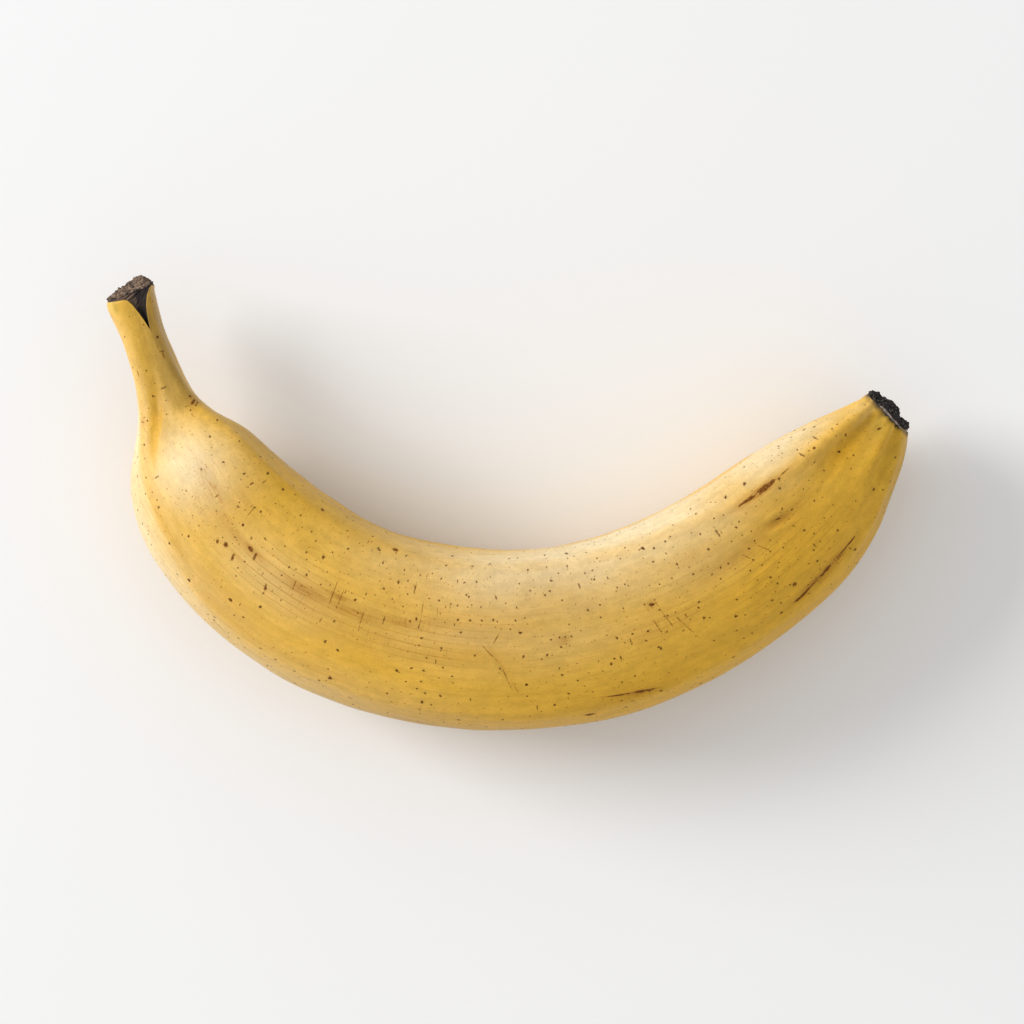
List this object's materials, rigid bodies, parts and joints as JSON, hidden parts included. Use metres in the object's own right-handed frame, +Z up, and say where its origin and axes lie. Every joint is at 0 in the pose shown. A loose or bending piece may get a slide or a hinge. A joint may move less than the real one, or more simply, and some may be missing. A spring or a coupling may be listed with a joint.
{
  "type": "banana",
  "caption": "Curved ripe fruit with a cut stalk and a dried blossom tip, lying on one of its flat sides.",
  "frame": {"origin": "middle of the footprint, on the surface that the fruit lies on", "axes": "+X from the stalk towards the blossom end, +Y towards the open side of the curve, +Z up"},
  "size_m": [0.1702, 0.0962, 0.037],
  "materials": {
    "peel": "satin, waxy, ripe yellow peel with brown freckles",
    "stalk_scar": "dry fibrous cut, dark brown",
    "blossom_scar": "dried, nearly black, wrinkled"
  },
  "bodies": {
    "root": {"banana": "peel"}
  },
  "joints": []
}
